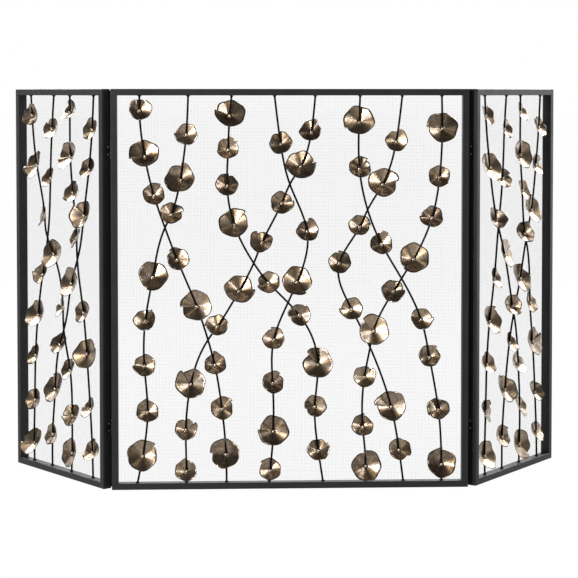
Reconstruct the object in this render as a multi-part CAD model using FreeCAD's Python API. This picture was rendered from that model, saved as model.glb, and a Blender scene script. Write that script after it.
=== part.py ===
"""Folding fireplace screen: a wide centre panel and two wings on hinges, decorated with vines.

Millimetres, +Z up, -Y towards the room.  The origin is on the floor under the middle of the
centre panel's bottom rail.  Every piece is drawn with the screen opened out flat, and the pieces
of a wing are then swung back about its hinge axis by FOLD_DEG, which is how the screen stands.
"""
import FreeCAD, Part

import math
import os

from FreeCAD import Placement, Rotation, Vector

# ---- driving dimensions -------------------------------------------------------------------
PANEL_HEIGHT = 787.0        # all three panels, floor to top
CENTRE_WIDTH = 702.0
WING_WIDTH = 330.0
FOLD_DEG = 53.0             # how far each wing stands folded back from flat

BAR_FACE = 12.7             # width of a frame bar, seen from the front
BAR_DEPTH = 19.0            # front to back
BAR_WALL = 2.0
BAR_CORNER_RADIUS = 1.2

MESH_THICK = 0.6            # woven wire cloth, laid on the backs of the frame bars
MESH_INSET = 3.0            # cloth edge from the panel's outer edge
RETAINER_THICK = 0.8        # flat strips that clamp the cloth
RETAINER_WIDTH = 8.0
RETAINER_INSET = 2.8
GAP_COVER = 1.4             # how far a wing's strip on the hinge side reaches past the wing

ROD_DIAMETER = 4.0          # vine rods
ROD_PLANE_Y = 0.0           # the vines' own plane, from the middle of the bar's depth
CROSSING_OFFSET = 2.6       # how far each rod of a crossing bows out of that plane
ROD_RUN = 26.0              # height between two bends of a rod
ROD_END = 7.0               # upright length of a rod at each rail
STRAIGHT_ENOUGH = 0.002     # radians: a smaller turn in a rod is left out
FLARE_RADIUS = 4.2          # weld fillet where a rod meets a rail
FLARE_TIP_RADIUS = ROD_DIAMETER / 2 - 0.3
FLARE_HEIGHT = 3.2

# a pad's radius is measured along the metal, from its middle to its rim
PAD_RADIUS = {"S": 22.5, "L": 30.5}
PAD_THICK = 0.9
PAD_CONE_DEG = 17.0         # a pad is a shallow cone, its rim towards the room
PAD_TILT_DEG = 22.0         # its top edge leans back and its bottom edge forward
PAD_SETBACK = 2.4           # the pad's middle behind the middle of its rod
PAD_TILT_VARIES = 3.0       # by how much one pad's tilt differs from another's
PAD_TURN_VARIES = 8.0       # the same for its turn about the rod
PAD_SLIT = 1.2
COLLAR_WALL = 1.1           # weld collar that holds a pad on its rod
COLLAR_LENGTH = 5.0
COLLAR_BITE = 0.05          # the weld runs into the rod by this much

HINGE_LENGTH = 26.0
HINGE_INSET = 121.0         # hinge middle from the panel's top and bottom
HINGE_GAP = 1.0             # between the panels when the screen is flat
HINGE_BEHIND = 1.6          # hinge axis behind the back faces of the bars
KNUCKLE_RADIUS = 2.2
PIN_RADIUS = 1.0
PIN_PLAY = 0.06
PIN_HEAD_RADIUS = 1.7
PIN_HEAD = 0.8
LEAF_THICK = 1.2
LEAF_WIDTH = 11.0
MOVING_CLEARANCE = 0.35
SCREW_RADIUS = 1.1
SCREW_HEAD_RADIUS = 2.1
SCREW_HEAD = 0.9
SCREW_LENGTH = 6.0
SCREW_SLOT = 0.5
SCREW_SPACING = 15.0
SCREW_FROM_AXIS = 7.0

# ---- places worked out from them -----------------------------------------------------------
BACK_Y = BAR_DEPTH / 2
AXIS_Y = BACK_Y + HINGE_BEHIND
AXIS_X = (CENTRE_WIDTH + HINGE_GAP) / 2
WING_MIDDLE_X = CENTRE_WIDTH / 2 + HINGE_GAP + WING_WIDTH / 2
HINGE_HEIGHTS = {"upper": PANEL_HEIGHT - HINGE_INSET, "lower": HINGE_INSET}
SIDES = {"left": -1, "right": 1}

# ---- vine layouts ---------------------------------------------------------------------------
LAYOUT_HEIGHT = 787.0       # the panels that the layouts are drawn for: on other sizes they stretch
LAYOUT_BAR = 12.7
CENTRE_LAYOUT_WIDTH = 702.0
WING_LAYOUT_WIDTH = 330.0

# Each vine is listed from the top down.  ("top", x) and ("foot", x) are where it meets the rails.
# ("S" or "L", x, z, slit) is a small or large pad and the direction its slit faces, in degrees
# anticlockwise from +X seen from the room; a fifth number turns the pad about its rod.
# ("over" or "under", x, z) is a crossing with another vine.  x is from the middle of the panel
# and z from the floor.
CENTRE_VINES = [
    [("top", -295), ("S", -295, 745, 50), ("L", -285, 655, 200), ("S", -267, 578, 60),
     ("under", -246, 515), ("S", -222, 452, 130), ("L", -184, 360, 180), ("over", -162, 294),
     ("S", -149, 244, 95), ("S", -135, 157, 40), ("L", -127, 67, 175), ("foot", -126)],
    [("top", -200), ("S", -204, 697, 180), ("L", -216, 608, 80), ("S", -234, 541, 10),
     ("over", -246, 515), ("L", -270, 418, 250), ("S", -285, 332, 55), ("S", -287, 243, 185),
     ("S", -281, 152, 90), ("L", -291, 64, 45), ("foot", -301)],
    [("top", -115), ("L", -119, 735, 170), ("S", -122, 668, 40), ("S", -124, 597, 85),
     ("L", -110, 520, 50), ("over", -72, 445), ("S", -42, 405, 200), ("under", -5, 367),
     ("S", 18, 341, 185), ("L", 54, 244, 130), ("S", 48, 160, 190), ("S", 55, 73, 35),
     ("foot", 64)],
    [("top", -31), ("S", -19, 679, 95), ("over", -1, 600), ("S", 33, 507, 80),
     ("L", 13, 407, 300), ("over", -5, 367), ("S", -33, 293, 100), ("S", -35, 207, 55),
     ("L", -34, 112, 180), ("S", -40, 34, 140), ("foot", -42)],
    [("top", 49), ("S", 41, 702, 60), ("L", 20, 635, 0), ("under", -1, 600),
     ("S", -17, 563, 5), ("S", -56, 485, 120), ("under", -72, 445), ("L", -101, 390, 350),
     ("S", -144, 320, 185), ("under", -162, 294), ("L", -196, 207, 130), ("S", -206, 116, 30),
     ("S", -205, 34, 90), ("foot", -205)],
    [("top", 137), ("L", 135, 722, 210), ("S", 136, 630, 50), ("over", 152, 549),
     ("S", 180, 481, 60), ("under", 219, 414), ("S", 258, 332, 0), ("S", 275, 257, 55),
     ("S", 293, 152, 215), ("L", 299, 44, 90), ("foot", 299)],
    [("top", 220), ("S", 208, 683, 80), ("L", 181, 599, 10), ("under", 152, 549),
     ("S", 136, 515, 0), ("S", 96, 444, 90), ("S", 121, 353, 185), ("under", 157, 278),
     ("L", 199, 159, 175), ("S", 215, 73, 320), ("foot", 223)],
    [("top", 298), ("L", 299, 709, 175), ("S", 294, 613, 320), ("S", 279, 533, 180),
     ("L", 243, 452, 230), ("over", 219, 414), ("S", 203, 388, 0), ("L", 164, 310, 130),
     ("over", 157, 278), ("S", 146, 218, 40), ("S", 143, 119, 85), ("L", 149, 41, 95),
     ("foot", 148)],
]
WING_VINES = [
    [("top", -118), ("S", -114, 732, 60), ("L", -96, 629, 200), ("S", -66, 523, 125, -18),
     ("over", -57, 494), ("L", -32, 449, 30), ("S", 3, 341, 170, -20),
     ("over", 8, 312), ("S", 29, 217, 80), ("S", 36, 127, 200), ("L", 35, 50, 300), ("foot", 33)],
    [("top", -28), ("S", -36, 705, 150), ("S", -43, 605, 20), ("under", -57, 494),
     ("S", -76, 404, 180), ("L", -95, 319, 60), ("S", -106, 233, 100), ("S", -110, 139, 30),
     ("L", -113, 49, 200), ("foot", -112)],
    [("top", 33), ("S", 33, 739, 120), ("L", 34, 651, 200), ("S", 43, 577, 70),
     ("S", 56, 487, 60, -18), ("over", 61, 460), ("S", 80, 340, 100), ("L", 92, 258, 20), ("S", 104, 149, 190),
     ("S", 111, 63, 80), ("foot", 113)],
    [("top", 121), ("S", 115, 706, 90), ("S", 103, 627, 30), ("L", 83, 534, 150),
     ("under", 61, 460), ("L", 35, 394, 60), ("under", 8, 312), ("S", -11, 265, 200),
     ("L", -29, 172, 110), ("S", -40, 77, 40), ("foot", -41)],
]


def box(low, high):
    """A box between two corners, given in any order."""
    start = Vector(*(min(a, b) for a, b in zip(low, high)))
    size = [abs(a - b) for a, b in zip(low, high)]
    return Part.makeBox(size[0], size[1], size[2], start)


def along_z(radius, x, y, low, high):
    return Part.makeCylinder(radius, high - low, Vector(x, y, low))


# ---- frame bars -----------------------------------------------------------------------------
def rounded_section(width, depth, radius, x):
    """A width by depth rectangle with rounded corners, across +X at x."""
    flat = Part.makeBox(1.0, depth, width, Vector(x, -depth / 2, -width / 2))
    if radius > 0:
        long_edges = [e for e in flat.Edges if abs(e.Vertexes[0].X - e.Vertexes[1].X) > 0.5]
        flat = flat.makeFillet(radius, long_edges)
    faces = [f for f in flat.Faces if abs(f.CenterOfMass.x - x) < 1e-6]
    return faces[0]


def mitred_bar(length):
    """A tube along X, BAR_FACE high and centred, cut at 45 degrees so its +Z side is longest."""
    end = length / 2
    outside = rounded_section(BAR_FACE, BAR_DEPTH, BAR_CORNER_RADIUS, -end)
    inside = rounded_section(BAR_FACE - 2 * BAR_WALL, BAR_DEPTH - 2 * BAR_WALL, 0, -end)
    tube = outside.extrude(Vector(length, 0, 0)).cut(inside.extrude(Vector(length, 0, 0)))
    top, bottom = BAR_FACE / 2, -BAR_FACE / 2
    corners = [Vector(-end, -BAR_DEPTH, top), Vector(end, -BAR_DEPTH, top),
               Vector(end - BAR_FACE, -BAR_DEPTH, bottom),
               Vector(-end + BAR_FACE, -BAR_DEPTH, bottom)]
    outline = Part.Face(Part.makePolygon(corners + corners[:1]))
    return tube.common(outline.extrude(Vector(0, 2 * BAR_DEPTH, 0)))


def frame_bars(width, middle_x):
    """The four bars of one panel, named by place: stiles at the sides, rails above and below."""
    half = BAR_FACE / 2
    places = {
        "top_rail": (width, 0, Vector(middle_x, 0, PANEL_HEIGHT - half)),
        "bottom_rail": (width, 180, Vector(middle_x, 0, half)),
        "right_stile": (PANEL_HEIGHT, 90, Vector(middle_x + width / 2 - half, 0, PANEL_HEIGHT / 2)),
        "left_stile": (PANEL_HEIGHT, -90, Vector(middle_x - width / 2 + half, 0, PANEL_HEIGHT / 2)),
    }
    bars = {}
    for name, (length, turn, place) in places.items():
        bar = mitred_bar(length)
        bar.Placement = Placement(place, Rotation(Vector(0, 1, 0), turn))
        bars[name] = bar
    return bars


# ---- wire cloth and its retaining strips ------------------------------------------------------
def wire_cloth(width, middle_x):
    half = width / 2 - MESH_INSET
    return box((middle_x - half, BACK_Y, MESH_INSET),
               (middle_x + half, BACK_Y + MESH_THICK, PANEL_HEIGHT - MESH_INSET))


def retaining_strips(width, middle_x):
    """Four flat strips over the cloth's edge: two upright, two lying between them.  On a wing the
    strip next to the centre panel is wider, and reaches over the gap between the panels."""
    front, back = BACK_Y + MESH_THICK, BACK_Y + MESH_THICK + RETAINER_THICK
    outer = width / 2 - RETAINER_INSET
    inner = outer - RETAINER_WIDTH
    low, high = RETAINER_INSET, PANEL_HEIGHT - RETAINER_INSET
    strips = []
    for side in SIDES.values():
        reach = width / 2 + GAP_COVER if side * middle_x < 0 else outer
        strips.append(box((middle_x + side * inner, front, low), (middle_x + side * reach, back, high)))
    for start in (low, high - RETAINER_WIDTH):
        strips.append(box((middle_x - inner, front, start),
                          (middle_x + inner, back, start + RETAINER_WIDTH)))
    return Part.makeCompound(strips)


# ---- vines ------------------------------------------------------------------------------------
def smooth_through(stations, values):
    """A natural cubic through (station, value) pairs, returned as a function of the station."""
    count = len(stations)
    gaps = [stations[i + 1] - stations[i] for i in range(count - 1)]
    slopes = [(values[i + 1] - values[i]) / gaps[i] for i in range(count - 1)]
    upper = [0.0] * count
    right = [0.0] * count
    for i in range(1, count - 1):
        pivot = 2 * (gaps[i - 1] + gaps[i]) - gaps[i - 1] * upper[i - 1]
        upper[i] = gaps[i] / pivot
        right[i] = (6 * (slopes[i] - slopes[i - 1]) - gaps[i - 1] * right[i - 1]) / pivot
    bends = [0.0] * count
    for i in range(count - 2, 0, -1):
        bends[i] = right[i] - upper[i] * bends[i + 1]

    def value_at(station):
        i = 0
        while i < count - 2 and station > stations[i + 1]:
            i += 1
        a, b, gap = stations[i + 1] - station, station - stations[i], gaps[i]
        cubic = (bends[i] * a ** 3 + bends[i + 1] * b ** 3) / (6 * gap)
        straight = (values[i] / gap - bends[i] * gap / 6) * a
        return cubic + straight + (values[i + 1] / gap - bends[i + 1] * gap / 6) * b
    return value_at


def stretched(points, width, layout_width):
    """The layout's points moved to suit the panel, so that a vine still meets both rails."""
    across = (width - 2 * BAR_FACE) / (layout_width - 2 * LAYOUT_BAR)
    upwards = (PANEL_HEIGHT - 2 * BAR_FACE) / (LAYOUT_HEIGHT - 2 * LAYOUT_BAR)
    placed = []
    for kind, x, *rest in points:
        if rest:
            rest[0] = BAR_FACE + (rest[0] - LAYOUT_BAR) * upwards
        placed.append((kind, x * across, *rest))
    return placed


def vine_line(points, middle_x):
    """The vine's run as two functions of height: x across the panel, and y front to back."""
    ends = {"foot": BAR_FACE, "top": PANEL_HEIGHT - BAR_FACE}
    bow = {"over": -CROSSING_OFFSET, "under": CROSSING_OFFSET}
    upwards = points[::-1]
    heights = [ends[p[0]] if p[0] in ends else p[2] for p in upwards]
    across = [middle_x + p[1] for p in upwards]
    depth = [ROD_PLANE_Y + bow.get(p[0], 0.0) for p in upwards]
    return smooth_through(heights, across), smooth_through(heights, depth)


def bent_wire(corners):
    """Straight runs through the corners, joined by tangent arcs nearly as large as fit."""
    edges = []
    start = corners[0]
    for before, corner, after in zip(corners, corners[1:], corners[2:]):
        into = corner - before
        out = after - corner
        turn = into.getAngle(out)
        if turn < STRAIGHT_ENOUGH:
            continue
        reach = 0.45 * min(into.Length, out.Length)
        first = corner - into.normalize() * reach
        last = corner + out.normalize() * reach
        # the arc's own middle lies this share of the way from its chord to the corner
        share = 1 / (1 + 1 / math.cos(turn / 2))
        chord_middle = (first + last) / 2
        middle = chord_middle + (corner - chord_middle) * share
        edges.append(Part.LineSegment(start, first).toShape())
        edges.append(Part.Arc(first, middle, last).toShape())
        start = last
    edges.append(Part.LineSegment(start, corners[-1]).toShape())
    return Part.Wire(edges)


def vine_path(points, middle_x):
    """The centre line of one rod, rail face to rail face, upright where it is welded."""
    x_at, y_at = vine_line(points, middle_x)
    low, high = BAR_FACE + ROD_END, PANEL_HEIGHT - BAR_FACE - ROD_END
    runs = round((high - low) / ROD_RUN)
    heights = [low + (high - low) * i / runs for i in range(runs + 1)]
    corners = [Vector(x_at(z), y_at(z), z) for z in heights]
    foot, top = Vector(corners[0]), Vector(corners[-1])
    foot.z = BAR_FACE
    top.z = PANEL_HEIGHT - BAR_FACE
    return bent_wire([foot] + corners + [top])


def vine_rod(path):
    """The rod with the weld fillets that hold its two ends to the rails."""
    foot = path.Edges[0].firstVertex().Point
    top = path.Edges[-1].lastVertex().Point
    section = Part.Wire(Part.makeCircle(ROD_DIAMETER / 2, foot, Vector(0, 0, 1)))
    rod = path.makePipeShell([section], True, False)
    for end, inwards in ((foot, Vector(0, 0, 1)), (top, Vector(0, 0, -1))):
        rod = rod.fuse(Part.makeCone(FLARE_RADIUS, FLARE_TIP_RADIUS, FLARE_HEIGHT, end, inwards))
    return rod


def point_on(path, height):
    """Where the path is at a height, and its upward direction there."""
    for edge in path.Edges:
        if edge.firstVertex(True).Z <= height <= edge.lastVertex(True).Z:
            low, high = edge.FirstParameter, edge.LastParameter
            for _ in range(40):
                middle = (low + high) / 2
                if edge.valueAt(middle).z < height:
                    low = middle
                else:
                    high = middle
            return edge.valueAt(low), edge.tangentAt(low)
    raise ValueError(f"the rod has no point at height {height}")


# ---- lily pads --------------------------------------------------------------------------------
def flat_pad(size, slit):
    """A dished sheet-metal disc in the XZ plane, slit from rim to centre, its rim towards -Y."""
    cone = math.radians(PAD_CONE_DEG)
    radius = PAD_RADIUS[size] * math.cos(cone)
    dish = PAD_RADIUS[size] * math.sin(cone)
    lift = PAD_THICK / math.cos(cone)
    profile = [Vector(0, 0, 0), Vector(radius, -dish, 0), Vector(radius, lift - dish, 0),
               Vector(0, lift, 0), Vector(0, 0, 0)]
    disc = Part.Face(Part.makePolygon(profile)).revolve(Vector(0, 0, 0), Vector(0, 1, 0), 360)
    slot = box((0, -BAR_DEPTH, -PAD_SLIT / 2), (2 * radius, BAR_DEPTH, PAD_SLIT / 2))
    slot.rotate(Vector(0, 0, 0), Vector(0, -1, 0), slit)
    return disc.cut(slot)


def pad_on_rod(path, size, height, slit, tilt, turn):
    """A pad tilted on its rod, with the weld collar round the rod, both cut to fit the rod."""
    centre, along = point_on(path, height)
    pad = flat_pad(size, slit)
    pad.rotate(Vector(0, 0, 0), Vector(1, 0, 0), -tilt)
    pad.rotate(Vector(0, 0, 0), Vector(0, 0, 1), turn)
    pad.translate(centre + Vector(0, PAD_SETBACK, 0))
    collar = Part.makeCylinder(ROD_DIAMETER / 2 + COLLAR_WALL, COLLAR_LENGTH,
                               centre - along * (COLLAR_LENGTH / 2), along)
    reach = PAD_RADIUS[size]
    rod = Part.makeCylinder(ROD_DIAMETER / 2 - COLLAR_BITE, 2 * reach, centre - along * reach, along)
    return pad.fuse(collar).cut(rod)


def vine_pads(path, points, vine_number):
    """All the pads of one vine, each with its own small difference in tilt and turn."""
    pads = []
    for number, point in enumerate(p for p in points if p[0] in PAD_RADIUS):
        size, _, height, slit, *turned = point
        step = number + 3 * vine_number
        tilt = PAD_TILT_DEG + PAD_TILT_VARIES * math.sin(1.7 * step)
        turn = sum(turned) + PAD_TURN_VARIES * math.sin(2.4 * step)
        pads.append(pad_on_rod(path, size, height, slit, tilt, turn))
    return pads


# ---- hinges -----------------------------------------------------------------------------------
def hinge(side, height):
    """The pieces of one butt hinge, opened flat, and what has to be cut from the two stiles."""
    axis_x = side * AXIS_X
    low, high = height - HINGE_LENGTH / 2, height + HINGE_LENGTH / 2
    third = HINGE_LENGTH / 3
    inner = (low + third, high - third)
    halves = {}
    for name, outwards in (("frame", -side), ("wing", side)):
        face_x = axis_x + outwards * HINGE_GAP / 2
        leaf = box((face_x, AXIS_Y, low), (face_x + outwards * LEAF_THICK, AXIS_Y - LEAF_WIDTH, high))
        own = [(low, inner[0]), (inner[1], high)] if name == "frame" else [inner]
        other = [inner] if name == "frame" else [(low, inner[0]), (inner[1], high)]
        bore = PIN_RADIUS if name == "frame" else PIN_RADIUS + PIN_PLAY
        for start, end in own:
            leaf = leaf.fuse(along_z(KNUCKLE_RADIUS, axis_x, AXIS_Y, start, end))
        for start, end in other:
            leaf = leaf.cut(along_z(KNUCKLE_RADIUS + MOVING_CLEARANCE, axis_x, AXIS_Y,
                                    start - MOVING_CLEARANCE, end + MOVING_CLEARANCE))
        leaf = leaf.cut(along_z(bore, axis_x, AXIS_Y, low - 1, high + 1))
        screws = []
        for offset in (-SCREW_SPACING / 2, SCREW_SPACING / 2):
            head_at = Vector(face_x, AXIS_Y - SCREW_FROM_AXIS, height + offset)
            screws.append(countersunk_screw(head_at, Vector(outwards, 0, 0)))
        for screw in screws:
            leaf = leaf.cut(screw)
        mortise = box((face_x - outwards, AXIS_Y + KNUCKLE_RADIUS, low),
                      (face_x + outwards * LEAF_THICK, AXIS_Y - LEAF_WIDTH, high))
        halves[name] = {"leaf": leaf, "screws": screws, "mortise": mortise}
    room = along_z(KNUCKLE_RADIUS + MOVING_CLEARANCE, axis_x, AXIS_Y,
                   low - PIN_HEAD - MOVING_CLEARANCE, high + PIN_HEAD + MOVING_CLEARANCE)
    pin = along_z(PIN_RADIUS, axis_x, AXIS_Y, low - PIN_HEAD, high)
    pin = pin.fuse(along_z(PIN_HEAD_RADIUS, axis_x, AXIS_Y, high, high + PIN_HEAD))
    return halves, pin, room


def countersunk_screw(face, inwards):
    """A slotted countersunk screw whose head is flush with the leaf at face."""
    head = Part.makeCone(SCREW_HEAD_RADIUS, SCREW_RADIUS, SCREW_HEAD, face, inwards)
    shank = Part.makeCylinder(SCREW_RADIUS, SCREW_LENGTH, face, inwards)
    return head.fuse(shank)


def slotted(screw, face_x, outwards):
    """The screw with the driver's slot cut across its head."""
    middle = screw.BoundBox.Center
    slot = box((face_x - outwards, middle.y - SCREW_HEAD_RADIUS, middle.z - SCREW_SLOT / 2),
               (face_x + outwards * SCREW_SLOT, middle.y + SCREW_HEAD_RADIUS, middle.z + SCREW_SLOT / 2))
    return screw.cut(slot)


# ---- assembly -----------------------------------------------------------------------------------
def build_panel(name, width, layout_width, middle_x, vines):
    """All the nodes of one panel, still in the flat pose."""
    nodes = {f"{name}_{place}": bar for place, bar in frame_bars(width, middle_x).items()}
    nodes[f"{name}_mesh"] = wire_cloth(width, middle_x)
    nodes[f"{name}_mesh_retainers"] = retaining_strips(width, middle_x)
    for number, layout in enumerate(vines, 1):
        points = stretched(layout, width, layout_width)
        path = vine_path(points, middle_x)
        nodes[f"{name}_vine_{number}"] = vine_rod(path)
        nodes[f"{name}_pads_{number}"] = Part.makeCompound(vine_pads(path, points, number))
    return nodes


def build_hinges(side_name, centre, wing):
    """Adds one wing's hinges to the nodes of the two panels, and lets the leaves into the stiles."""
    side = SIDES[side_name]
    inner_stile = f"{side_name}_{'right' if side < 0 else 'left'}_stile"
    outer_stile = f"centre_{side_name}_stile"
    wing_screws, frame_screws, pins = [], [], []
    for level, height in HINGE_HEIGHTS.items():
        halves, pin, room = hinge(side, height)
        for half, nodes, stile in (("frame", centre, outer_stile), ("wing", wing, inner_stile)):
            parts = halves[half]
            outwards = -side if half == "frame" else side
            face_x = side * AXIS_X + outwards * HINGE_GAP / 2
            cut_away = [parts["mortise"], room] + parts["screws"]
            for tool in cut_away:
                nodes[stile] = nodes[stile].cut(tool)
            if half == "wing":
                strips = f"{side_name}_mesh_retainers"
                nodes[strips] = nodes[strips].cut(room)
            nodes[f"{side_name}_{level}_hinge_{half}_leaf"] = parts["leaf"]
            screws = [slotted(screw, face_x, outwards) for screw in parts["screws"]]
            (frame_screws if half == "frame" else wing_screws).extend(screws)
        pins.append(pin)
    wing[f"{side_name}_hinge_screws"] = Part.makeCompound(wing_screws)
    return frame_screws, pins


def join_wing_pads(name, nodes):
    """The pads of a wing's vines, gathered in one node."""
    pads = []
    for number in range(1, len(WING_VINES) + 1):
        pads += nodes.pop(f"{name}_pads_{number}").Solids
    nodes[f"{name}_pads"] = Part.makeCompound(pads)


centre = build_panel("centre", CENTRE_WIDTH, CENTRE_LAYOUT_WIDTH, 0.0, CENTRE_VINES)
all_nodes = {}
frame_screws, pins = [], []
for side_name, side in SIDES.items():
    wing = build_panel(side_name, WING_WIDTH, WING_LAYOUT_WIDTH, side * WING_MIDDLE_X, WING_VINES)
    join_wing_pads(side_name, wing)
    more_screws, more_pins = build_hinges(side_name, centre, wing)
    frame_screws += more_screws
    pins += more_pins
    for name, shape in wing.items():
        shape = shape.copy()
        shape.rotate(Vector(side * AXIS_X, AXIS_Y, 0), Vector(0, 0, side), FOLD_DEG)
        all_nodes[name] = shape
centre["centre_hinge_screws"] = Part.makeCompound(frame_screws)
centre["hinge_pins"] = Part.makeCompound(pins)
all_nodes.update(centre)

os.makedirs("parts", exist_ok=True)
for name, shape in sorted(all_nodes.items()):
    if not shape.isValid():
        raise ValueError(f"{name} is not a valid shape")
    shape.exportStep(f"parts/{name}.step")
    print(f"{name}: {len(shape.Solids)} solid(s), {shape.Volume / 1000:.2f} cm3")
print(len(all_nodes), "nodes")
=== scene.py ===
"""Looks of the folding fireplace screen: black steel panels, wire cloth, and vines of bronze pads.

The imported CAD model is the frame.  Its bars, strips and hinges stay and get their finishes; the
wire cloth, the vine rods and the pads are made again here with the detail of the real ones.
Sizes are in millimetres, turned to metres as each mesh is made.
"""

import math

import bpy
import numpy as np
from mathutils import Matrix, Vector


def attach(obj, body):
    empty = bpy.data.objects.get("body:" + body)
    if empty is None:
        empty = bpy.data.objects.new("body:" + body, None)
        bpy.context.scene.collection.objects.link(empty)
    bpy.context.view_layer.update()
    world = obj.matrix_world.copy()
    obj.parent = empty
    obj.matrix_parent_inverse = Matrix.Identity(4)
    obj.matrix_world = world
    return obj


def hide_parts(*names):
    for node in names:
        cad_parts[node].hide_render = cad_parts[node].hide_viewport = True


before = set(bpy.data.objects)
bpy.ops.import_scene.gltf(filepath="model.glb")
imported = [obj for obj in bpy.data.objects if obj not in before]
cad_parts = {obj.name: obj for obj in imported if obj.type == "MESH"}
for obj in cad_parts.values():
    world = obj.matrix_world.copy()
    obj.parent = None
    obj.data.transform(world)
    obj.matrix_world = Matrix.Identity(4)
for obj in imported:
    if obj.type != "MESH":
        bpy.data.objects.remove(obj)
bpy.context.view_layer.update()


# ---- studio -----------------------------------------------------------------------------------
# A white sweep with two tall softboxes in front, a low one at the right, and a large one behind
# each wing that lights the pads from their edges.  The camera stands a little left of the middle,
# at the height of the screen's top edge.
def linear(hex_colour, alpha=1.0):
    """An sRGB hex colour as linear RGBA: ((c + 0.055) / 1.055) ^ 2.4, or c / 12.92 when dark."""
    parts = [int(hex_colour[i:i + 2], 16) / 255 for i in (1, 3, 5)]
    return tuple(((c + 0.055) / 1.055) ** 2.4 if c > 0.04045 else c / 12.92 for c in parts) + (alpha,)


def node(tree, kind, inputs, **settings):
    """Adds a node with its settings; each input is given a value or a link from another socket."""
    made = tree.nodes.new(kind)
    for name, value in settings.items():
        setattr(made, name, value)
    for name, value in inputs.items():
        if isinstance(value, bpy.types.NodeSocket):
            tree.links.new(value, made.inputs[name])
        else:
            made.inputs[name].default_value = value
    return made


def softbox(name, place, aim, width, height, watts):
    """A rectangular area light at place, facing aim, in metres."""
    light = bpy.data.lights.new(name, "AREA")
    light.shape = "RECTANGLE"
    light.size, light.size_y, light.energy = width, height, watts
    holder = bpy.data.objects.new(name, light)
    holder.location = place
    holder.rotation_euler = (Vector(aim) - Vector(place)).to_track_quat("-Z", "Y").to_euler()
    bpy.context.scene.collection.objects.link(holder)


softbox("key_softbox", (-2.3, -3.0, 1.5), (0.0, 0.1, 0.4), 0.5, 1.1, 105)
softbox("fill_softbox", (2.4, -2.4, 2.2), (0.0, 0.1, 0.4), 0.35, 1.4, 27)
softbox("right_softbox", (3.0, 1.1, 0.6), (0.3, 0.1, 0.4), 1.4, 2.0, 12)
softbox("left_rim_softbox", (-2.0, 1.9, 2.2), (-0.4, 0.1, 0.4), 1.7, 1.7, 96)
softbox("right_rim_softbox", (2.0, 1.9, 2.2), (0.4, 0.1, 0.4), 1.7, 1.7, 118)

# The wall behind the screen lights it from there; the room in front is dim.  Seen straight, both
# are plain white.
world = bpy.data.worlds.new("white sweep")
world.use_nodes = True
tree = world.node_tree
towards = node(tree, "ShaderNodeTexCoord", {}).outputs["Generated"]
behind = node(tree, "ShaderNodeSeparateXYZ", {"Vector": towards}).outputs["Y"]
glow = node(tree, "ShaderNodeMapRange", {"Value": behind, "From Min": 0.3, "From Max": 0.7,
                                         "To Min": 0.06, "To Max": 1.6})
seen = node(tree, "ShaderNodeLightPath", {}).outputs["Is Camera Ray"]
shown = node(tree, "ShaderNodeMix", {0: seen, 2: glow.outputs["Result"], 3: 1.0})
wall = tree.nodes["Background"]
wall.inputs["Color"].default_value = linear("#ffffff")
tree.links.new(shown.outputs[0], wall.inputs["Strength"])
bpy.context.scene.world = world
bpy.context.scene.view_settings.view_transform = "Standard"

# The sweep shows as even white; what it throws back on the screen is dimmer, like lit paper.
sweep = bpy.data.materials.new("white sweep paper")
sweep.use_nodes = True
paper = sweep.node_tree.nodes["Principled BSDF"]
paper.inputs["Base Color"].default_value = linear("#242424")
paper.inputs["Roughness"].default_value = 1.0
paper.inputs["Specular IOR Level"].default_value = 0.0
paper.inputs["Emission Color"].default_value = linear("#ffffff")
paper_seen = node(sweep.node_tree, "ShaderNodeLightPath", {}).outputs["Is Camera Ray"]
paper_glow = node(sweep.node_tree, "ShaderNodeMix", {0: paper_seen, 2: 0.6, 3: 0.985})
sweep.node_tree.links.new(paper_glow.outputs[0], paper.inputs["Emission Strength"])
floor_mesh = bpy.data.meshes.new("floor")
floor_mesh.from_pydata([(-30, -30, 0), (30, -30, 0), (30, 60, 0), (-30, 60, 0)], [], [(0, 1, 2, 3)])
floor_mesh.materials.append(sweep)
floor = bpy.data.objects.new("floor", floor_mesh)
bpy.context.scene.collection.objects.link(floor)

camera = bpy.data.cameras.new("camera")
camera.lens, camera.sensor_width = 111.06, 36.0
camera.shift_x, camera.shift_y = -0.0268, -0.22
camera.clip_start, camera.clip_end = 0.1, 200.0
viewer = bpy.data.objects.new("camera", camera)
viewer.location = (-0.1154, -3.4935, 0.782)
viewer.rotation_euler = (math.radians(90 - 2.26), 0.0, math.radians(-2.345))
bpy.context.scene.collection.objects.link(viewer)
bpy.context.scene.camera = viewer


# ---- frame bars -------------------------------------------------------------------------------
# Square steel tube, mitred and welded at the corners, then powder-coated satin black.  The coat
# flows as it cures, so it has a faint orange peel and slightly softened edges.
MM = 0.001
BAR_FACE, BAR_DEPTH = 12.7, 19.0
PANEL_HEIGHT, CENTRE_WIDTH, WING_WIDTH = 787.0, 702.0, 330.0
ORANGE_PEEL = 1.6            # mm from crest to crest
COAT_GRAIN = 0.35            # mm, the texture additive in the powder


def finish(name, metallic, roughness):
    """A new material with its metal share and roughness set, as (material, tree, shader)."""
    made = bpy.data.materials.new(name)
    made.use_nodes = True
    shader = made.node_tree.nodes["Principled BSDF"]
    shader.inputs["Metallic"].default_value = metallic
    shader.inputs["Roughness"].default_value = roughness
    return made, made.node_tree, shader


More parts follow.
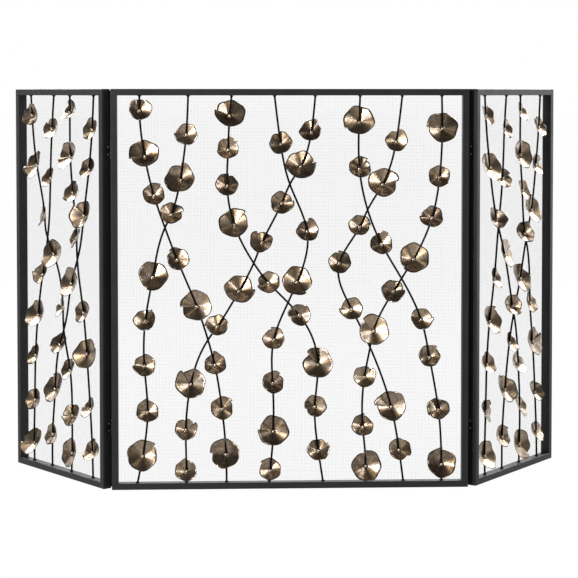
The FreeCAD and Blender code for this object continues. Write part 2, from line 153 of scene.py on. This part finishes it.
def powder_coat(name, colour, worn, roughness, gloss):
    """Satin powder coat: fine grain over orange peel, its roughness drifting from place to place.
    gloss is the share of a clear coat's reflection, lower for the matting agent in the powder."""
    made, tree, shader = finish(name, 0.0, roughness)
    shader.inputs["Specular IOR Level"].default_value = gloss
    place = node(tree, "ShaderNodeTexCoord", {}).outputs["Object"]
    peel = node(tree, "ShaderNodeTexNoise", {"Vector": place, "Scale": 1 / (ORANGE_PEEL * MM),
                                             "Detail": 1.0})
    grain = node(tree, "ShaderNodeTexNoise", {"Vector": place, "Scale": 1 / (COAT_GRAIN * MM),
                                              "Detail": 2.0})
    patches = node(tree, "ShaderNodeTexNoise", {"Vector": place, "Scale": 1 / (45 * MM), "Detail": 3.0})
    tone = node(tree, "ShaderNodeMix", {0: patches.outputs["Fac"], 6: linear(colour), 7: linear(worn)},
                data_type="RGBA")
    tree.links.new(tone.outputs[2], shader.inputs["Base Color"])
    drift = node(tree, "ShaderNodeMapRange", {"Value": patches.outputs["Fac"], "From Min": 0.3,
                                              "From Max": 0.7, "To Min": roughness - 0.05,
                                              "To Max": roughness + 0.05})
    tree.links.new(drift.outputs["Result"], shader.inputs["Roughness"])
    low_bump = node(tree, "ShaderNodeBump", {"Height": peel.outputs["Fac"], "Strength": 0.35,
                                             "Distance": 0.06 * MM})
    bump = node(tree, "ShaderNodeBump", {"Height": grain.outputs["Fac"], "Strength": 0.5,
                                         "Distance": 0.02 * MM, "Normal": low_bump.outputs["Normal"]})
    tree.links.new(bump.outputs["Normal"], shader.inputs["Normal"])
    return made


def finish_nodes(made, names):
    """Gives the CAD nodes of these names one finish."""
    for name in names:
        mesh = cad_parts[name].data
        mesh.materials.clear()
        mesh.materials.append(made)


bar_names = [f"{panel}_{place}" for panel in ("centre", "left", "right")
             for place in ("top_rail", "bottom_rail", "left_stile", "right_stile")]
finish_nodes(powder_coat("satin black powder coat", "#1a1a1b", "#222223", 0.42, 0.42), bar_names)


# ---- retaining strips -------------------------------------------------------------------------
# Flat mild-steel strips that clamp the edge of the wire cloth to the backs of the bars, painted
# with the frame and a little flatter, because the powder is thinner there.
finish_nodes(powder_coat("thin black powder coat", "#131313", "#1a1a1a", 0.5, 0.3),
             [f"{panel}_mesh_retainers" for panel in ("centre", "left", "right")])


# ---- wire cloth -------------------------------------------------------------------------------
# Fine steel wires laid square to each other on the backs of the bars, painted black.  They stand
# 2.8 mm apart, and no wire is quite straight.  Real cloth is woven; at this pitch that is too
# fine to see, so the two sets of wires lie one behind the other, just touching.
BACK_Y = BAR_DEPTH / 2
HINGE_GAP, HINGE_BEHIND, FOLD_DEG = 1.0, 1.6, 53.0
WIRE_PITCH, WIRE_DIAMETER, WIRE_WANDER = 2.8, 0.15, 0.12
CLOTH_INSET = 3.6
PANELS = {
    "centre": {"side": 0, "width": CENTRE_WIDTH, "middle_x": 0.0},
    "left": {"side": -1, "width": WING_WIDTH, "middle_x": -(CENTRE_WIDTH + WING_WIDTH) / 2 - HINGE_GAP},
    "right": {"side": 1, "width": WING_WIDTH, "middle_x": (CENTRE_WIDTH + WING_WIDTH) / 2 + HINGE_GAP},
}
BODIES = {"centre": "centre_panel", "left": "left_wing", "right": "right_wing"}


def folded(points, side):
    """Points of a wing drawn flat, swung back about its hinge axis; side 0 leaves them as they are."""
    angle = side * math.radians(FOLD_DEG)
    axis = np.array([side * (CENTRE_WIDTH + HINGE_GAP) / 2, BACK_Y + HINGE_BEHIND])
    across, depth = points[..., 0] - axis[0], points[..., 1] - axis[1]
    swung = points.copy()
    swung[..., 0] = axis[0] + across * math.cos(angle) - depth * math.sin(angle)
    swung[..., 1] = axis[1] + across * math.sin(angle) + depth * math.cos(angle)
    return swung


def swept(lines, radius, sides):
    """Tubes along many lines at once: each ring is centre + radius * (cos a * s + sin a * t), where
    s and t are square to the line, and the two ends are closed.  Returns vertices and faces."""
    count, length = lines.shape[:2]
    along = np.gradient(lines, axis=1)
    along /= np.linalg.norm(along, axis=-1, keepdims=True)
    s = np.cross(along, [0.0, 1.0, 0.0])
    s /= np.linalg.norm(s, axis=-1, keepdims=True)
    t = np.cross(s, along)
    angle = np.arange(sides) * 2 * math.pi / sides
    ring = np.cos(angle)[:, None] * s[..., None, :] + np.sin(angle)[:, None] * t[..., None, :]
    points = lines[..., None, :] + radius[..., None, None] * ring
    index = np.arange(count * length * sides).reshape(count, length, sides)
    here, there = index[:, :-1], index[:, 1:]
    walls = np.stack([here, there, np.roll(there, -1, 2), np.roll(here, -1, 2)], -1).reshape(-1, 4)
    ends = np.concatenate([index[:, 0], index[:, -1, ::-1]])
    return points.reshape(-1, 3), walls.tolist() + ends.tolist()


def piece(name, points, faces, made, body, smooth=True):
    """A mesh from points in millimetres, riding on a body, in a material that stands for a slot."""
    mesh = bpy.data.meshes.new(name)
    mesh.from_pydata((points * MM).tolist(), [], faces)
    mesh.materials.append(made)
    mesh.polygons.foreach_set("use_smooth", np.full(len(mesh.polygons), smooth))
    mesh.update()
    held = bpy.data.objects.new(name, mesh)
    bpy.context.scene.collection.objects.link(held)
    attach(held, body)
    return held


def wire_cloth(width, middle_x, side, rng):
    """Two sets of wires over the panel; each wanders by WIRE_WANDER as a sine along its length."""
    half, low, high = width / 2 - CLOTH_INSET, CLOTH_INSET, PANEL_HEIGHT - CLOTH_INSET
    steps = np.linspace(0.0, 1.0, 13)
    sets = []
    for start, end, cross_start, cross_end, upright in ((low, high, -half, half, True),
                                                        (-half, half, low, high, False)):
        stations = np.arange(cross_start, cross_end, WIRE_PITCH)[:, None]
        phase = rng.uniform(0, 2 * math.pi, stations.shape)
        wander = WIRE_WANDER * np.sin(2 * math.pi * 1.5 * steps + phase)
        run = np.broadcast_to(start + (end - start) * steps, wander.shape)
        depth = BACK_Y + 0.3 + (-0.5 if upright else 0.5) * WIRE_DIAMETER
        place = stations + wander
        pair = (place, run) if upright else (run, place)
        sets.append(np.stack([pair[0] + middle_x, np.full(run.shape, depth), pair[1]], -1))
    lines = folded(np.concatenate(sets), side)
    return swept(lines, np.full(lines.shape[:2], WIRE_DIAMETER / 2), 4)


wire_black = powder_coat("black painted wire", "#141414", "#1b1b1b", 0.34, 0.7)
for number, (panel, facts) in enumerate(PANELS.items()):
    points, faces = wire_cloth(facts["width"], facts["middle_x"], facts["side"],
                               np.random.default_rng(20 + number))
    cloth = piece(f"{panel}_wire_cloth", points, faces, wire_black, BODIES[panel])
    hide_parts(f"{panel}_mesh")


# ---- vine rods --------------------------------------------------------------------------------
# 4 mm round mild-steel rod, bent by hand into long curves, crossing each other in front and
# behind, and MIG-welded to the rails, which leaves a small fillet round each end.
ROD_RADIUS, CROSSING_OFFSET = 2.0, 2.6
FILLET_RADIUS, FILLET_HEIGHT = 4.2, 1.7
CENTRE_VINES = [
    [("top", -295), ("S", -295, 745, 50), ("L", -285, 655, 200), ("S", -267, 578, 60),
     ("under", -246, 515), ("S", -222, 452, 130), ("L", -184, 360, 180), ("over", -162, 294),
     ("S", -149, 244, 95), ("S", -135, 157, 40), ("L", -127, 67, 175), ("foot", -126)],
    [("top", -200), ("S", -204, 697, 180), ("L", -216, 608, 80), ("S", -234, 541, 10),
     ("over", -246, 515), ("L", -270, 418, 250), ("S", -285, 332, 55), ("S", -287, 243, 185),
     ("S", -281, 152, 90), ("L", -291, 64, 45), ("foot", -301)],
    [("top", -115), ("L", -119, 735, 170), ("S", -122, 668, 40), ("S", -124, 597, 85),
     ("L", -110, 520, 50), ("over", -72, 445), ("S", -42, 405, 200), ("under", -5, 367),
     ("S", 18, 341, 185), ("L", 54, 244, 130), ("S", 48, 160, 190), ("S", 55, 73, 35),
     ("foot", 64)],
    [("top", -31), ("S", -19, 679, 95), ("over", -1, 600), ("S", 33, 507, 80),
     ("L", 13, 407, 300), ("over", -5, 367), ("S", -33, 293, 100), ("S", -35, 207, 55),
     ("L", -34, 112, 180), ("S", -40, 34, 140), ("foot", -42)],
    [("top", 49), ("S", 41, 702, 60), ("L", 20, 635, 0), ("under", -1, 600),
     ("S", -17, 563, 5), ("S", -56, 485, 120), ("under", -72, 445), ("L", -101, 390, 350),
     ("S", -144, 320, 185), ("under", -162, 294), ("L", -196, 207, 130), ("S", -206, 116, 30),
     ("S", -205, 34, 90), ("foot", -205)],
    [("top", 137), ("L", 135, 722, 210), ("S", 136, 630, 50), ("over", 152, 549),
     ("S", 180, 481, 60), ("under", 219, 414), ("S", 258, 332, 0), ("S", 275, 257, 55),
     ("S", 293, 152, 215), ("L", 299, 44, 90), ("foot", 299)],
    [("top", 220), ("S", 208, 683, 80), ("L", 181, 599, 10), ("under", 152, 549),
     ("S", 136, 515, 0), ("S", 96, 444, 90), ("S", 121, 353, 185), ("under", 157, 278),
     ("L", 199, 159, 175), ("S", 215, 73, 320), ("foot", 223)],
    [("top", 298), ("L", 299, 709, 175), ("S", 294, 613, 320), ("S", 279, 533, 180),
     ("L", 243, 452, 230), ("over", 219, 414), ("S", 203, 388, 0), ("L", 164, 310, 130),
     ("over", 157, 278), ("S", 146, 218, 40), ("S", 143, 119, 85), ("L", 149, 41, 95),
     ("foot", 148)],
]
WING_VINES = [
    [("top", -118), ("S", -114, 732, 60), ("L", -96, 629, 200), ("S", -66, 523, 125, -18),
     ("over", -57, 494), ("L", -32, 449, 30), ("S", 3, 341, 170, -20),
     ("over", 8, 312), ("S", 29, 217, 80), ("S", 36, 127, 200), ("L", 35, 50, 300), ("foot", 33)],
    [("top", -28), ("S", -36, 705, 150), ("S", -43, 605, 20), ("under", -57, 494),
     ("S", -76, 404, 180), ("L", -95, 319, 60), ("S", -106, 233, 100), ("S", -110, 139, 30),
     ("L", -113, 49, 200), ("foot", -112)],
    [("top", 33), ("S", 33, 739, 120), ("L", 34, 651, 200), ("S", 43, 577, 70),
     ("S", 56, 487, 60, -18), ("over", 61, 460), ("S", 80, 340, 100), ("L", 92, 258, 20),
     ("S", 104, 149, 190), ("S", 111, 63, 80), ("foot", 113)],
    [("top", 121), ("S", 115, 706, 90), ("S", 103, 627, 30), ("L", 83, 534, 150),
     ("under", 61, 460), ("L", 35, 394, 60), ("under", 8, 312), ("S", -11, 265, 200),
     ("L", -29, 172, 110), ("S", -40, 77, 40), ("foot", -41)],
]


def smooth_through(stations, values, at):
    """A natural cubic: the second slope is linear between stations and nothing at the two ends."""
    gaps, rises = np.diff(stations), np.diff(values)
    system = np.eye(len(stations))
    inner = np.arange(1, len(stations) - 1)
    system[inner, inner - 1], system[inner, inner + 1] = gaps[:-1], gaps[1:]
    system[inner, inner] = 2 * (gaps[:-1] + gaps[1:])
    right = np.zeros(len(stations))
    right[1:-1] = 6 * np.diff(rises / gaps)
    bend = np.linalg.solve(system, right)
    i = np.clip(np.searchsorted(stations, at) - 1, 0, len(gaps) - 1)
    before, after, gap = at - stations[i], stations[i + 1] - at, gaps[i]
    curve = (bend[i] * after ** 3 + bend[i + 1] * before ** 3) / (6 * gap)
    ramp = (values[i] / gap - bend[i] * gap / 6) * after
    return curve + ramp + (values[i + 1] / gap - bend[i + 1] * gap / 6) * before


def vine_at(layout, middle_x, heights):
    """Points on a vine's centre line at these heights, on a panel drawn flat."""
    ends = {"foot": BAR_FACE, "top": PANEL_HEIGHT - BAR_FACE}
    bow = {"over": -CROSSING_OFFSET, "under": CROSSING_OFFSET}
    upwards = layout[::-1]
    stations = np.array([ends[p[0]] if p[0] in ends else p[2] for p in upwards], float)
    across = smooth_through(stations, np.array([p[1] for p in upwards], float), heights)
    depth = smooth_through(stations, np.array([bow.get(p[0], 0.0) for p in upwards]), heights)
    return np.stack([across + middle_x, depth, heights], -1)


def vine_rod(layout, middle_x, side):
    """A tube along the vine; near each rail its radius swells as a bell curve into the fillet."""
    span = np.array([BAR_FACE, PANEL_HEIGHT - BAR_FACE])
    near = np.array([0.0, 0.5, 1.0, 1.6, 2.4, 3.4, 5.0])
    heights = np.concatenate([span[0] + near, np.linspace(span[0] + 9, span[1] - 9, 150),
                              span[1] - near[::-1]])
    off_rail = np.minimum(heights - span[0], span[1] - heights)
    swell = (FILLET_RADIUS - ROD_RADIUS) * np.exp(-(off_rail / FILLET_HEIGHT) ** 2)
    line = folded(vine_at(layout, middle_x, heights)[None], side)
    return swept(line, (ROD_RADIUS + swell)[None], 12)


vine_black = powder_coat("matt black powder-coated rod", "#050505", "#0a0a0a", 0.5, 0.07)
for panel, facts in PANELS.items():
    for number, layout in enumerate(WING_VINES if facts["side"] else CENTRE_VINES, 1):
        points, faces = vine_rod(layout, facts["middle_x"], facts["side"])
        rod = piece(f"{panel}_vine_rod_{number}", points, faces, vine_black, BODIES[panel])
        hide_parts(f"{panel}_vine_{number}")


# ---- lily pads --------------------------------------------------------------------------------
# Sheet-steel discs slit to the middle, dished on a former so that the slit's edges lap, brushed
# round and round, then bronze-plated, darkened and rubbed back.  Each is brazed to its rod.
PAD_RADIUS = {"S": 23.6, "L": 31.6}      # along the metal, middle to rim, 1.1 more than in CAD
PAD_THICK, PAD_CONE_DEG, PAD_SETBACK = 0.9, 20.0, 2.4
PAD_TILT_DEG, PAD_TILT_VARIES, PAD_TURN_VARIES = 22.0, 3.0, 8.0
LAP_DEG, LAP_LIFT = 9.0, 2.4             # how far the slit's edges lap, and how far one rises
LAP_STEP = 0.11                          # the lip on top stands out and the one below is drawn in
LOBES, LOBE_DEPTH, RIPPLE = 6, 0.028, 0.7
UNEVEN, BEND = 0.03, 2.8                # a disc's slow waver in outline, and how far its rim bends
CONE_VARIES_DEG, LEAN_VARIES_DEG = 4.0, 7.0
PAD_STATIONS = np.array([0.05, 0.2, 0.38, 0.56, 0.73, 0.88, 0.97])
PAD_COLUMNS = 44


def pad_places(layout, number, middle_x):
    """Each pad of a vine as its middle, radius, slit, tilt and turn, the angles in radians."""
    rows = [p for p in layout if p[0] in PAD_RADIUS]
    step = np.arange(len(rows)) + 3 * number
    middles = vine_at(layout, middle_x, np.array([p[2] for p in rows], float))
    tilt = np.radians(PAD_TILT_DEG + PAD_TILT_VARIES * np.sin(1.7 * step))
    turn = np.radians(np.array([sum(p[4:]) for p in rows]) + PAD_TURN_VARIES * np.sin(2.4 * step))
    return (middles, np.array([PAD_RADIUS[p[0]] for p in rows]),
            np.radians([p[3] for p in rows]), tilt, turn)


def dished_discs(middles, radius, slit, tilt, turn, side, rng):
    """Slit discs: at angle a and share v of the radius R, x = R v cos a, z = R v sin a and the dish
    is R v sin(cone), with R rippled by LOBES waves and drawn in at the slit.  A closed profile
    (front, rolled rim, back) goes round once, lapped by LAP_DEG.  Returns points, uv and faces."""
    count = len(radius)
    cone = np.radians(PAD_CONE_DEG + CONE_VARIES_DEG * rng.uniform(-1, 1, (count, 1, 1)))
    around = np.linspace(0.0, 1.0, PAD_COLUMNS + 1)
    angle = slit[:, None] + math.radians(LAP_DEG) * (around - 0.5) + 2 * math.pi * around
    phase, slow, fold = rng.uniform(0, 2 * math.pi, (3, count, 1))
    wave = np.cos(LOBES * angle + phase)
    rising = np.where(rng.random((count, 1)) < 0.5, around, 1 - around)
    corner = np.exp(-(np.minimum(around, 1 - around) * 360 / 5) ** 2)
    outline = (1 + LOBE_DEPTH * wave + UNEVEN * np.cos(3 * angle + slow)
               + LAP_STEP * (2 * rising - 1) ** 3 - 0.05 * corner)
    bend = BEND * rng.uniform(0.3, 1.0, (count, 1)) * np.cos(2 * angle + fold)
    v = np.concatenate([PAD_STATIONS, [1.0], PAD_STATIONS[::-1]])[None, :, None]
    layer = np.concatenate([np.zeros(7), [0.5], np.ones(7)])[None, :, None] * PAD_THICK
    reach = radius[:, None, None] * v * outline[:, None, :]
    lift = LAP_LIFT * np.clip((rising - 0.8) / 0.2, 0, 1)
    depth = -reach * np.sin(cone) - (RIPPLE * wave + bend + lift)[:, None, :] * v ** 2 + layer
    flat = np.stack([reach * np.cos(cone) * np.cos(angle)[:, None, :], depth,
                     reach * np.cos(cone) * np.sin(angle)[:, None, :]], -1)
    tilt, turn = (a + np.radians(LEAN_VARIES_DEG) * rng.uniform(-1, 1, count) for a in (tilt, turn))
    tc, ts = np.cos(tilt)[:, None, None], np.sin(tilt)[:, None, None]
    leaned = np.stack([flat[..., 0], flat[..., 1] * tc + flat[..., 2] * ts,
                       flat[..., 2] * tc - flat[..., 1] * ts], -1)
    rc, rs = np.cos(turn)[:, None, None], np.sin(turn)[:, None, None]
    turned = np.stack([leaned[..., 0] * rc - leaned[..., 1] * rs,
                       leaned[..., 0] * rs + leaned[..., 1] * rc, leaned[..., 2]], -1)
    placed = folded(turned + (middles + [0.0, PAD_SETBACK, 0.0])[:, None, None, :], side)
    uv = np.stack(np.broadcast_arrays(around[None, None, :], v), -1)
    uv = np.broadcast_to(uv, placed.shape[:3] + (2,)).reshape(-1, 2)
    loop, columns = placed.shape[1:3]
    index = np.arange(count * loop * columns).reshape(count, loop, columns)
    nxt = np.roll(index, -1, 1)
    walls = np.stack([index[..., :-1], nxt[..., :-1], nxt[..., 1:], index[..., 1:]], -1).reshape(-1, 4)
    fronts, backs = index[:, :7], index[:, :7:-1]
    edges = np.stack([fronts[:, :-1], fronts[:, 1:], backs[:, 1:], backs[:, :-1]], -1)
    ends = np.concatenate([edges[:, :, -1].reshape(-1, 4), edges[:, :, 0, ::-1].reshape(-1, 4)])
    rims = np.stack([index[:, 6], index[:, 7], index[:, 8]], -1)
    tips = np.concatenate([rims[:, -1], rims[:, 0, ::-1]])
    return placed.reshape(-1, 3), uv, walls.tolist() + ends.tolist() + tips.tolist()


def brushed_bronze(name):
    """Dark bronze plate over rings of brushing: mottled brown to champagne in random patches, lighter on
    the wing pads as painted light, near black where the rim keeps its patina.  u runs round the pad, v
    outwards."""
    made, tree, shader = finish(name, 1.0, 0.34)
    shader.inputs["Anisotropic"].default_value = 0.8
    shader.inputs["Coat Weight"].default_value = 1.0
    shader.inputs["Coat Roughness"].default_value = 0.22
    shader.inputs["Coat IOR"].default_value = 1.8
    place = node(tree, "ShaderNodeTexCoord", {}).outputs["Object"]
    uv = node(tree, "ShaderNodeUVMap", {}, uv_map="round_and_out").outputs["UV"]
    tone = node(tree, "ShaderNodeAttribute", {}, attribute_name="pad_tone_and_wing_light").outputs["Fac"]
    rings = node(tree, "ShaderNodeMapping", {"Vector": uv, "Scale": (3.0, 60.0, 1.0)})
    strokes = node(tree, "ShaderNodeTexNoise", {"Vector": rings.outputs["Vector"], "Scale": 1.0,
                                                "Detail": 3.0, "Roughness": 0.6})
    mottle = node(tree, "ShaderNodeTexNoise", {"Vector": place, "Scale": 1 / (9 * MM), "Detail": 5.0,
                                               "Roughness": 0.62})
    speckle = node(tree, "ShaderNodeTexNoise", {"Vector": place, "Scale": 1 / (1.3 * MM), "Detail": 2.0})
    both = node(tree, "ShaderNodeMath", {0: speckle.outputs["Fac"], 1: 0.55, 2: mottle.outputs["Fac"]},
                operation="MULTIPLY_ADD")
    spread = node(tree, "ShaderNodeMapRange", {"Value": both.outputs["Value"], "From Min": 0.58,
                                               "From Max": 0.98})
    # The tone is random per pad, plus a lift on the wing pads that is painted light: the brighter light
    # they catch, put into their colour.
    mottle_and_wing_light = node(tree, "ShaderNodeMath", {0: spread.outputs["Result"], 1: tone}, operation="ADD")
    worn = node(tree, "ShaderNodeMix", {0: mottle_and_wing_light.outputs["Value"], 6: linear("#654a2e"),
                                        7: linear("#d2b693")}, data_type="RGBA")
    streaks = node(tree, "ShaderNodeMapRange", {"Value": strokes.outputs["Fac"], "From Min": 0.35,
                                                "From Max": 0.65, "To Min": 0.0, "To Max": 0.5})
    brushed = node(tree, "ShaderNodeMix", {0: streaks.outputs["Result"], 6: worn.outputs[2],
                                           7: linear("#33230f")}, data_type="RGBA")
    out = node(tree, "ShaderNodeSeparateXYZ", {"Vector": uv}).outputs["Y"]
    rim = node(tree, "ShaderNodeMapRange", {"Value": out, "From Min": 0.86, "From Max": 0.99},
               interpolation_type="SMOOTHSTEP")
    patina = node(tree, "ShaderNodeMix", {0: rim.outputs["Result"], 6: brushed.outputs[2],
                                          7: linear("#3a2818")}, data_type="RGBA")
    tree.links.new(patina.outputs[2], shader.inputs["Base Color"])
    rough = node(tree, "ShaderNodeMapRange", {"Value": mottle.outputs["Fac"], "From Min": 0.3,
                                              "From Max": 0.7, "To Min": 0.40, "To Max": 0.24})
    tree.links.new(rough.outputs["Result"], shader.inputs["Roughness"])
    bump = node(tree, "ShaderNodeBump", {"Height": strokes.outputs["Fac"], "Strength": 0.4,
                                         "Distance": 0.05 * MM})
    tree.links.new(bump.outputs["Normal"], shader.inputs["Normal"])
    tangent = node(tree, "ShaderNodeTangent", {}, direction_type="UV_MAP", uv_map="round_and_out")
    tree.links.new(tangent.outputs["Tangent"], shader.inputs["Tangent"])
    return made


def pad_piece(name, places, panel, made, nodes, rng):
    """One piece from the pads at these places, with the uv map and a tone that differs per pad, raised
    on the wings as painted light.
    """
    side = PANELS[panel]["side"]
    points, uv, faces = dished_discs(*places, side, rng)
    held = piece(name, points, faces, made, BODIES[panel])
    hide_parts(*nodes)
    mesh = held.data
    corners = np.zeros(len(mesh.loops), np.int32)
    mesh.loops.foreach_get("vertex_index", corners)
    mesh.uv_layers.new(name="round_and_out").uv.foreach_set("vector", uv[corners].ravel())
    count = len(places[1])
    # A random tone per pad; the wing pads get 0.15 more, a painted lightening for the light they catch.
    tones_and_wing_light = np.repeat(rng.uniform(-0.3, 0.3, count) + 0.15 * abs(side), len(points) // count)
    mesh.attributes.new("pad_tone_and_wing_light", "FLOAT", "POINT").data.foreach_set("value", tones_and_wing_light)


bronze = brushed_bronze("antiqued bronze plate, brushed round")
rng = np.random.default_rng(7)
for number, layout in enumerate(CENTRE_VINES, 1):
    pad_piece(f"centre_lily_pads_{number}", pad_places(layout, number, 0.0), "centre", bronze,
              [f"centre_pads_{number}"], rng)
for panel in ("left", "right"):
    sets = [pad_places(layout, number, PANELS[panel]["middle_x"])
            for number, layout in enumerate(WING_VINES, 1)]
    pad_piece(f"{panel}_lily_pads", [np.concatenate(group) for group in zip(*sets)], panel, bronze,
              [f"{panel}_pads"], rng)


# ---- braze beads ------------------------------------------------------------------------------
# A blob of pale bronze filler where each rod goes through its pad, smeared a few millimetres
# along the rod; its colour runs up to near white in spots, a painted highlight for the bead's glint.
BEAD_HALF_LENGTH, BEAD_RADIUS = 4.2, 3.5

bead_bronze, bead_tree, bead_shader = finish("brazing filler", 1.0, 0.33)
bead_place = node(bead_tree, "ShaderNodeTexCoord", {}).outputs["Object"]
bead_spots = node(bead_tree, "ShaderNodeTexNoise", {"Vector": bead_place, "Scale": 1 / (2 * MM)})
# The pale end is near white: the filler's colour lifted into a painted highlight, the glint on the bead.
bead_tone_and_glint = node(bead_tree, "ShaderNodeMix", {0: bead_spots.outputs["Fac"], 6: linear("#6a5a48"),
                                              7: linear("#efe6d6")}, data_type="RGBA")
bead_tree.links.new(bead_tone_and_glint.outputs[2], bead_shader.inputs["Base Color"])
for panel, facts in PANELS.items():
    layouts = WING_VINES if facts["side"] else CENTRE_VINES
    heights = [np.array([p[2] for p in layout if p[0] in PAD_RADIUS], float) for layout in layouts]
    share = np.sin(np.linspace(-1.45, 1.45, 7))
    lines = np.concatenate([vine_at(layout, facts["middle_x"], z[:, None] + BEAD_HALF_LENGTH * share)
                            for layout, z in zip(layouts, heights)])
    swell = BEAD_RADIUS * np.sqrt(1 - share ** 2) * rng.uniform(0.9, 1.1, lines.shape[:2])
    points, faces = swept(folded(lines, facts["side"]), swell, 8)
    piece(f"{panel}_braze_beads", points, faces, bead_bronze, BODIES[panel])


# ---- hinges -----------------------------------------------------------------------------------
# Small steel butt hinges let into the stiles and coated with the frame.  Their pins and slotted
# countersunk screws are zinc-plated and left bright.
finish_nodes(powder_coat("black coated hinge leaf", "#121212", "#1c1c1c", 0.38, 0.3),
             [f"{side}_{level}_hinge_{half}_leaf" for side in ("left", "right")
              for level in ("upper", "lower") for half in ("frame", "wing")])

zinc, zinc_tree, zinc_shader = finish("zinc-plated steel", 1.0, 0.3)
zinc_place = node(zinc_tree, "ShaderNodeTexCoord", {}).outputs["Object"]
spangle = node(zinc_tree, "ShaderNodeTexNoise", {"Vector": zinc_place, "Scale": 1 / (0.8 * MM)})
zinc_tone = node(zinc_tree, "ShaderNodeMix", {0: spangle.outputs["Fac"], 6: linear("#8f9194"),
                                              7: linear("#c9cbcd")}, data_type="RGBA")
zinc_tree.links.new(zinc_tone.outputs[2], zinc_shader.inputs["Base Color"])
finish_nodes(zinc, ["hinge_pins", "centre_hinge_screws", "left_hinge_screws", "right_hinge_screws"])
